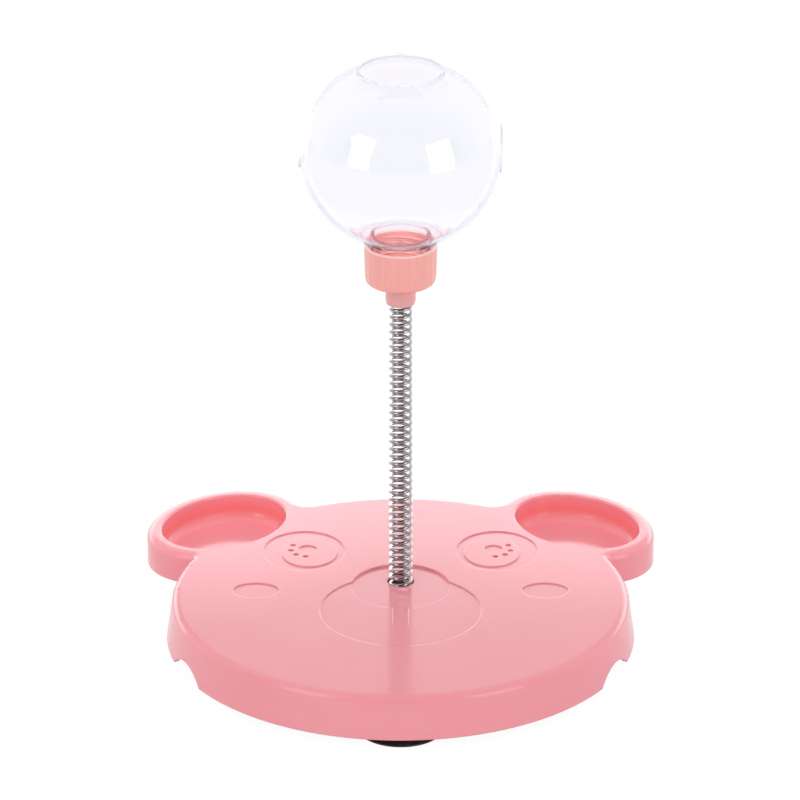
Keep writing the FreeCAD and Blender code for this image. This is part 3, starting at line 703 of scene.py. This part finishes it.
def plated_steel():
    """Zinc-plated steel with a cloudy gloss."""
    shader = Shader("steel_plated")
    spots = shader.noise(scale=300.0, detail=4.0, roughness=0.6)
    shader.set(
        Base_Color=shader.mix(shader.range(spots, 0.0, 1.0), PLATING_DARK, PLATING_LIGHT),
        Roughness=shader.range(spots, 0.25, 0.38),
        Metallic=1.0,
    )
    return shader.material


def clear_plastic():
    """Clear blown plastic, a little greyer along its lower outline, which is painted shade; light passes
    straight through for shadows.
    """
    shader = Shader("plastic_clear")
    level = shader.parts(shader.coordinates["Object"])["Z"]
    low_down = shader.range(level, 1.0, CLEAR_SHADE_TOP, CLEAR_SHADE_LOW, CLEAR_SHADE_HIGH)
    slant = shader.nodes.new("ShaderNodeLayerWeight").outputs["Facing"]
    outline = shader.range(slant, 0.0, 1.0, *CLEAR_EDGE_FACING)
    edge = shader.calculate("MULTIPLY", low_down, outline)
    above_neck = shader.range(level, 0.0, 1.0, *CLEAR_NECK_FADE)
    outline_shade = shader.calculate("MULTIPLY", edge, above_neck)
    wall = shader.mix(above_neck, WHITE, CLEAR_WALL)
    waves = shader.noise(scale=26.0, detail=2.0)
    shader.bump(waves, strength=0.03, distance=0.4 * MM)
    shader.set(
        Base_Color=shader.mix(outline_shade, wall, CLEAR_OUTLINE_SHADE),
        Roughness=shader.range(waves, 0.0, 0.012),
        Transmission_Weight=1.0,
        IOR=PLASTIC_IOR,
    )

    # Straight through: light on its way to other surfaces, trapped rays, and a share of the outline
    path = shader.light_path()
    lighting = shader.calculate("MAXIMUM", path["Is Shadow Ray"], path["Is Diffuse Ray"])
    trapped = shader.calculate("GREATER_THAN", path["Ray Depth"], CLEAR_BOUNCES)
    straight = shader.calculate("MAXIMUM", lighting, trapped)
    straight = shader.calculate("MAXIMUM", straight, shader.calculate("MULTIPLY", edge, CLEAR_EDGE_SHARE))

    # What passes straight is greyer, a painted shade, along the outline and where the ball mirrors itself
    mirrored = shader.calculate("GREATER_THAN", path["Glossy Depth"], 0.5)
    greyer = shader.calculate("SUBTRACT", mirrored, lighting, clamp=True)
    greyer = shader.calculate("MAXIMUM", greyer, outline_shade)
    passing = shader.nodes.new("ShaderNodeBsdfTransparent")
    shader.put(shader.mix(greyer, CLEAR_PASSING, CLEAR_PASSING_SHADE), passing.inputs["Color"])
    glass = shader.blend(straight, shader.surface.outputs["BSDF"], passing.outputs["BSDF"])
    shader.put(glass, shader.output["Surface"])

    absorption = shader.nodes.new("ShaderNodeVolumeAbsorption")
    shader.put(CLEAR_DEPTHS, absorption.inputs["Color"])
    shader.put(CLEAR_DENSITY, absorption.inputs["Density"])
    shader.put(absorption.outputs["Volume"], shader.output["Volume"])
    return shader.material


def sawn_plastic():
    """The outlets' sawn rims: the same plastic, dull from the cutter."""
    shader = Shader("plastic_sawn")
    marks = shader.noise(scale=700.0)
    shader.set(
        Base_Color=shader.mix(shader.range(marks, 0.0, 1.0), SAWN_LIGHT, SAWN_DARK),
        Roughness=shader.range(marks, 0.4, 0.6),
    )
    return shader.material


base_plastic = moulded_plastic(
    "plastic_pink", PINK_LIGHT, PINK_DEEP,
    roughness=0.13, edge=0.8 * MM, depth_share=0.12, painted_light=painted_bowl_bounce)
cap_plastic = moulded_plastic(
    "plastic_salmon", SALMON_LIGHT, SALMON_DEEP,
    roughness=0.18, edge=0.15 * MM, depth_share=0.1, painted_light=cap_painted_light)
inner_plastic = moulded_plastic(
    "plastic_natural", NATURAL_LIGHT, NATURAL_DEEP,
    roughness=0.4, edge=0.2 * MM, depth_share=0.12)
rubber = black_rubber()
wire_steel = bright_wire()
screw_steel = plated_steel()
clear = clear_plastic()
sawn = sawn_plastic()


def dress(item, material):
    item.data.materials.clear()
    item.data.materials.append(material)


# Base shell, anchor and plug keep their own forms
dress(frame["nodes"]["base_shell"], base_plastic)
dress(frame["nodes"]["spring_anchor"], inner_plastic)
dress(frame["nodes"]["spring_plug"], inner_plastic)


# Suction cups: the rubber cup, its neck and knob, with rounded lips
def suction_cup(node):
    low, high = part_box(node)
    centre = Vector(((low.x + high.x) / 2, (low.y + high.y) / 2, low.z))
    radius = (high.x - low.x) / 2
    height = high.z - low.z
    outline = rounded([
        (0, CUP_HOLLOW_TOP),
        (CUP_HOLLOW_RADIUS, CUP_HOLLOW_HEIGHT, CUP_HOLLOW_ROUND),
        (radius - CUP_LIP_WIDTH, 0),
        (radius, 0, CUP_FINE_ROUND),
        (radius, CUP_LIP_HEIGHT, CUP_SMALL_ROUND),
        (CUP_DISH_RADIUS, CUP_DISH_HEIGHT, CUP_DISH_ROUND),
        (CUP_SHOULDER_RADIUS, CUP_SHOULDER_HEIGHT, CUP_SOFT_ROUND),
        (CUP_NECK_RADIUS, CUP_SHOULDER_HEIGHT, CUP_SMALL_ROUND),
        (CUP_NECK_RADIUS, CUP_KNOB_HEIGHT, CUP_FINE_ROUND),
        (CUP_KNOB_RADIUS, CUP_KNOB_HEIGHT, CUP_SOFT_ROUND),
        (CUP_TIP_RADIUS, height, CUP_TIP_ROUND),
        (0, height),
    ])
    item = lathe(node + "_rubber", outline, centre)
    dress(sharpen(item), rubber)
    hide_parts(node)
    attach(item, "base")


for side in ("front", "rear", "left", "right"):
    suction_cup("suction_cup_" + side)


# Spring: one right-handed wire, as two pieces that meet in mid-height between the two sway joints
def spring_path():
    low = spring_low.z + WIRE_RADIUS
    high = spring_high.z - WIRE_RADIUS
    steps = SPRING_TURNS * SPRING_STEPS
    path = []
    for index in range(steps + 1):
        angle = FULL_TURN * index / SPRING_STEPS
        x = SPRING_RADIUS * math.cos(angle)
        y = AXIS_Y + SPRING_RADIUS * math.sin(angle)
        path.append(Vector((x, y, low + (high - low) * index / steps)))
    return path


def spring_half(name, path):
    item = tube(name, path, WIRE_RADIUS, WIRE_SIDES)
    dress(item, wire_steel)
    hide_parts("spring")
    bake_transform(item)


def spring():
    """The wire is cut into two halves at the level midway between the two sway joints."""
    wire = spring_path()
    joints = {joint["name"]: joint for joint in frame["joints"]}
    low_bend = joints["sway_fore_aft"]["pos_m"][2]
    high_bend = joints["sway_side"]["pos_m"][2]
    middle = (low_bend + high_bend) / 2
    split = min(range(len(wire)), key=lambda index: abs(wire[index].z - middle))
    spring_half("spring_wire_lower", wire[:split + 1])
    spring_half("spring_wire_upper", wire[split:])


spring()


# Screw cap: ribbed skirt, thread inside, a stub with a socket for the spring below
def thread_shape(z, angle, start, height):
    """A rounded helical ridge that fades in and out over a fifth of a turn."""
    turns = (z - start) / THREAD_PITCH - angle / FULL_TURN
    nearest = round(turns)
    along = nearest + angle / FULL_TURN
    if not 0 <= along <= THREAD_TURNS:
        return 0.0
    fade = min(1.0, along / THREAD_FADE, (THREAD_TURNS - along) / THREAD_FADE)
    off = abs(turns - nearest) * THREAD_PITCH
    if off >= THREAD_HALF_WIDTH:
        return 0.0
    return height * fade * (0.5 + 0.5 * math.cos(math.pi * off / THREAD_HALF_WIDTH))


def cap_shift(r, z, angle):
    """The thread stands in from the bore, and the grooves between the ribs lie in the skirt."""
    if abs(r - THREAD_ROOT_RADIUS) < NEARLY and CAP_FLOOR < z < CAP_HEIGHT - CAP_RIM_ROUND:
        return -thread_shape(z, angle, THREAD_START, CAP_THREAD_HEIGHT)
    if r > CAP_RADIUS_LOW - CAP_RIB_ZONE:
        wave = math.cos(CAP_RIBS * angle)
        ridge = max(0.0, (wave - CAP_RIB_START) / (1 - CAP_RIB_START))
        return CAP_RIB_DEPTH * (ridge * ridge * (3 - 2 * ridge) - 1)
    return 0.0


def screw_cap():
    centre = Vector((0, AXIS_Y, CAP_LEVEL))
    stub_end = cap_low.z - CAP_LEVEL
    outline = rounded([
        (SCREW_HOLE, CAP_FLOOR),
        (THREAD_ROOT_RADIUS, CAP_FLOOR, CAP_FLOOR_ROUND),
        (THREAD_ROOT_RADIUS, CAP_HEIGHT, CAP_RIM_ROUND),
        (CAP_RADIUS_TOP, CAP_HEIGHT, CAP_RIM_ROUND),
        (CAP_RADIUS_LOW, 0, CAP_LOW_ROUND),
        (STUB_RADIUS, 0, STUB_ROOT_ROUND),
        (STUB_RADIUS, -STUB_STRAIGHT, STUB_EDGE_ROUND),
        (STUB_END_RADIUS, stub_end, STUB_END_ROUND),
        (SOCKET_RADIUS, stub_end, STUB_END_ROUND),
        (SOCKET_RADIUS, SOCKET_ROOF, SOCKET_ROOF_ROUND),
        (SCREW_HOLE, SOCKET_ROOF),
        (SCREW_HOLE, CAP_FLOOR),
    ], steps=8)
    section = dense(outline[:-1], CAP_STEP)
    item = lathe("ribbed_screw_cap", section, centre, CAP_RIBS * CAP_RIB_STEPS, cap_shift, closed=True)
    dress(sharpen(item), cap_plastic)
    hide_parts("screw_cap")
    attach(item, "head")


screw_cap()


# Treat ball: a blown bottle, flat on top, with its neck screwed into the cap
def ball_section(inset):
    """The section from the neck's end up to the axis on top, drawn in by inset; heights from the centre."""
    wide = BALL_RADIUS - inset
    flat = BALL_FLAT_HEIGHT - inset
    flat_radius = BALL_FLAT_RADIUS - inset
    ledge = flat - BALL_STEP
    ledge_radius = flat_radius + BALL_LEDGE
    offset = (wide ** 2 - ledge_radius ** 2 - ledge ** 2) / (2 * (wide - ledge_radius))
    neck = NECK_RADIUS - NECK_WALL * inset / BALL_WALL
    neck_end = ball_low.z - BALL_CENTRE.z
    neck_level = NECK_LEVEL - BALL_CENTRE.z + inset
    shoulder = SHOULDER_RADIUS - inset
    low = arc((0, 0), wide, -math.degrees(math.acos(shoulder / wide)), 0, BALL_ARC_STEPS)
    ledge_angle = math.degrees(math.atan2(ledge, ledge_radius - offset))
    brow_angle = math.degrees(math.acos((BALL_BROW_RADIUS - inset - offset) / (wide - offset)))
    high = arc((offset, 0), wide - offset, 0, min(brow_angle, ledge_angle), BALL_ARC_STEPS)
    neck_part = dense(rounded([
        (neck, neck_end),
        (neck, neck_level, NECK_ROUND),
        (shoulder - SHOULDER_INSET, neck_level, SHOULDER_ROUND),
        low[0],
    ]), NECK_STEP)
    top_part = rounded([
        high[-1],
        (flat_radius, ledge, BALL_STEP_ROUND),
        (flat_radius, flat, BALL_STEP_ROUND),
        (0, flat),
    ], steps=4)
    return neck_part[:-1] + low + high[1:] + top_part[1:]


def ball_shift(r, z, angle):
    """The thread stands out from the neck, and the lug from the edge of the flat top."""
    neck_end = ball_low.z - BALL_CENTRE.z
    neck_level = NECK_LEVEL - BALL_CENTRE.z
    if abs(r - NECK_RADIUS) < NEARLY and neck_end < z < neck_level - SHOULDER_ROUND:
        start = CAP_LEVEL - BALL_CENTRE.z + THREAD_START - THREAD_PITCH / 2
        return thread_shape(z, angle, start, NECK_THREAD_HEIGHT)
    if z > BALL_FLAT_HEIGHT - 2 * BALL_STEP - BALL_WALL and r > BALL_FLAT_RADIUS - 2 * BALL_WALL:
        return LUG_REACH * math.exp(-((angle - LUG_ANGLE) / LUG_HALF_ANGLE) ** 2)
    return 0.0


def treat_ball():
    section = ball_section(0) + ball_section(BALL_WALL)[::-1]
    item = lathe("clear_ball", section, BALL_CENTRE, BALL_SEGMENTS, ball_shift, closed=True)
    along = Vector((math.cos(BALL_TURN), -math.sin(BALL_TURN), 0))
    sideways = along * (BALL_RADIUS * OUTLET_TOOL_REACH)
    middle = BALL_CENTRE + UP * OUTLET_RISE
    cut(item, rod("outlet_tool", OUTLET_RADIUS, middle - sideways, middle + sideways, OUTLET_SIDES))
    dress(sharpen(item, BALL_CREASE), clear)
    item.data.materials.append(sawn)
    smooth_faces(item.data)
    for polygon in item.data.polygons:
        off = polygon.center - middle
        away = (off - along * off.dot(along)).length
        if abs(away - OUTLET_RADIUS) < SAWN_TOLERANCE and abs(polygon.normal.dot(along)) < SAWN_SLANT:
            polygon.material_index = 1
    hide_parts("treat_ball")
    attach(item, "ball")


treat_ball()


# Screws: a domed head with a cross recess and a threaded shank
def recess_arm(spin):
    """The wedge that cuts one arm of the cross, narrower at its floor."""
    half = Vector((math.cos(spin), math.sin(spin), 0))
    side = Vector((-half.y, half.x, 0)) * RECESS_HALF_WIDTH
    corners = []
    for reach, level in ((RECESS_FOOT, RECESS_FLOOR), (RECESS_REACH, RECESS_TOP)):
        out = half * reach
        rise = UP * level
        corners += [-out - side + rise, out - side + rise, out + side + rise, -out + side + rise]
    faces = [[0, 3, 2, 1], [4, 5, 6, 7], [0, 1, 5, 4], [1, 2, 6, 5], [2, 3, 7, 6], [3, 0, 4, 7]]
    return new_object("recess_tool", mesh_from("recess_tool", corners, faces), smooth=False)


def screw(name, node, body, x, y, head_level, tip_level):
    """One screw between the level under its head and its tip; it may point down or up."""
    length = abs(head_level - tip_level)

    def shank_shift(r, z, angle):
        if abs(r - SCREW_CORE) > NEARLY or z < SCREW_POINT - length or z > -SCREW_PLAIN:
            return 0.0
        turn = (z / SCREW_PITCH - angle / FULL_TURN) % 1.0
        return SCREW_RIDGE * max(0.0, 1 - abs(turn - 0.5) / SCREW_RIDGE_SHARE)

    outline = rounded([
        (0, -length),
        (SCREW_CORE, SCREW_POINT - length, SCREW_POINT_ROUND),
        (SCREW_CORE, 0),
        (SCREW_HEAD_RADIUS, 0, SCREW_HEAD_ROUND),
        (SCREW_HEAD_RADIUS, SCREW_EDGE_HEIGHT, SCREW_EDGE_ROUND),
        (SCREW_CROWN_RADIUS, SCREW_CROWN_HEIGHT, SCREW_CROWN_ROUND),
        (0, SCREW_HEAD_HEIGHT),
    ])
    item = lathe(name, dense(outline, SCREW_STEP), ORIGIN, SCREW_SEGMENTS, shank_shift)
    for spin in (0, math.pi / 2):
        cut(item, recess_arm(spin))
    turn_over = Matrix.Rotation(0 if head_level > tip_level else math.pi, 4, "X")
    item.data.transform(Matrix.Translation((x, y, head_level)) @ turn_over)
    smooth_faces(item.data)
    dress(sharpen(item), screw_steel)
    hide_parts(node)
    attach(item, body)


def cap_screw():
    head_level = cap_screw_high.z - SCREW_HEAD_HEIGHT
    screw("cap_screw_steel", "cap_screw", "head", 0, AXIS_Y, head_level, cap_screw_low.z)


def anchor_screws():
    head_level = anchor_screws_low.z + SCREW_HEAD_HEIGHT
    for number, degrees in enumerate(PILLAR_ANGLES, start=1):
        name = f"anchor_screw_steel_{number}"
        x = PILLAR_RING * math.cos(math.radians(degrees))
        y = AXIS_Y + PILLAR_RING * math.sin(math.radians(degrees))
        screw(name, "anchor_screws", "base", x, y, head_level, anchor_screws_high.z)


cap_screw()
anchor_screws()


# Stage: a white floor and a white surround. What the camera sees, also through the clear ball, is
# plain white with a faint shadow; what lights and mirrors in the object is a softer studio.
def stage_floor():
    shader = Shader("floor_white")
    shader.set(Base_Color=FLOOR_GREY, Roughness=FLOOR_ROUGHNESS, Specular_IOR_Level=FLOOR_SPECULAR)
    glow = shader.nodes.new("ShaderNodeEmission")
    shader.put(WHITE, glow.inputs["Color"])
    shader.put(FLOOR_GLOW, glow.inputs["Strength"])
    path = shader.light_path()
    depth = shader.parts(shader.coordinates["Object"])["Y"]
    fade = shader.range(depth, MIRROR_FLOOR_FRONT, MIRROR_FLOOR_BACK, *MIRROR_FLOOR_FADE, smooth=True)
    mirrored = shader.calculate("MULTIPLY", path["Is Glossy Ray"], fade)
    seen = shader.calculate("MULTIPLY", path["Is Camera Ray"], FLOOR_SHARE)
    through = shader.calculate("MULTIPLY", path["Is Transmission Ray"], FLOOR_SHARE_THROUGH)
    share = shader.calculate("MAXIMUM", shader.calculate("MAXIMUM", seen, mirrored), through)
    floor_look = shader.blend(share, shader.surface.outputs["BSDF"], glow.outputs["Emission"])
    shader.put(floor_look, shader.output["Surface"])
    corners = [
        (-FLOOR_SIZE, -FLOOR_SIZE, 0),
        (FLOOR_SIZE, -FLOOR_SIZE, 0),
        (FLOOR_SIZE, FLOOR_SIZE, 0),
        (-FLOOR_SIZE, FLOOR_SIZE, 0),
    ]
    floor = new_object("floor", mesh_from("floor", corners, [[0, 1, 2, 3]]), smooth=False)
    dress(floor, shader.material)


def surround():
    """A white room: bright behind the object, dim where the camera stands."""
    world = bpy.data.worlds.new("studio")
    bpy.context.scene.world = world
    world.use_nodes = True
    room = Graph(world.node_tree)
    room.nodes.remove(room.nodes["Background"])

    def background(strength):
        node = room.nodes.new("ShaderNodeBackground")
        room.put(WHITE, node.inputs["Color"])
        room.put(strength, node.inputs["Strength"])
        return node.outputs["Background"]

    depth = room.parts(room.coordinates["Generated"])["Y"]
    mirror = background(room.range(depth, MIRROR_FRONT, MIRROR_BACK, *MIRROR_FADE, smooth=True))
    path = room.light_path()
    seen_directly = room.calculate("MAXIMUM", path["Is Camera Ray"], path["Is Transmission Ray"])
    lighting = room.blend(path["Is Glossy Ray"], background(FILL_STRENGTH), mirror)
    room_look = room.blend(seen_directly, lighting, background(SEEN_STRENGTH))
    room.put(room_look, room.nodes["World Output"].inputs["Surface"])


def place_light(name, light, place, aim, in_gloss):
    """Puts a lamp in the scene, hidden from the camera and behind clear plastic."""
    item = bpy.data.objects.new(name, light)
    bpy.context.scene.collection.objects.link(item)
    item.location = place
    item.rotation_euler = (Vector(aim) - Vector(place)).to_track_quat("-Z", "Y").to_euler()
    item.visible_camera = False
    item.visible_transmission = False
    item.visible_glossy = in_gloss


def softbox(name, place, aim, width, height, power, in_gloss=True):
    light = bpy.data.lights.new(name, "AREA")
    light.shape = "RECTANGLE"
    light.size = width
    light.size_y = height
    light.energy = power
    place_light(name, light, place, aim, in_gloss)


def narrow_light(name, place, aim, cone, power, size):
    light = bpy.data.lights.new(name, "SPOT")
    light.energy = power
    light.spot_size = math.radians(cone)
    light.spot_blend = 1.0
    light.shadow_soft_size = size
    place_light(name, light, place, aim, in_gloss=False)


def lamps():
    for values in SOFTBOXES:
        softbox(*values)
    for name, low, high, power in CARDS:
        level = (low + high) / 2
        softbox(name, (0, CARD_DEPTH, level), (0, 0, level), CARD_WIDTH, high - low, power)
    for values in NARROW_LIGHTS:
        narrow_light(*values)


def camera():
    """The head's middle at the skirt's foot shows at HEAD_MIDDLE_PIXEL; the view isn't turned aside."""
    data = bpy.data.cameras.new("photo_camera")
    data.sensor_width = SENSOR_WIDTH
    data.lens = FOCAL_PIXELS / PHOTO_SIZE * SENSOR_WIDTH
    data.clip_end = CAMERA_SIGHT
    item = bpy.data.objects.new("photo_camera", data)
    bpy.context.scene.collection.objects.link(item)
    forward = Vector((0, math.cos(CAMERA_PITCH), -math.sin(CAMERA_PITCH)))
    upward = Vector((0, math.sin(CAMERA_PITCH), math.cos(CAMERA_PITCH)))
    right = (HEAD_MIDDLE_PIXEL[0] - PHOTO_SIZE / 2) / FOCAL_PIXELS * CAMERA_DEPTH
    down = (HEAD_MIDDLE_PIXEL[1] - PHOTO_SIZE / 2) / FOCAL_PIXELS * CAMERA_DEPTH
    head_middle = Vector((0, HEAD_Y, SKIRT_LEVEL))
    item.location = head_middle - forward * CAMERA_DEPTH - Vector((right, 0, 0)) + upward * down
    item.rotation_euler = (math.pi / 2 - CAMERA_PITCH, 0, 0)
    bpy.context.scene.camera = item


stage_floor()
surround()
lamps()
camera()
bpy.context.scene.view_settings.view_transform = "Standard"
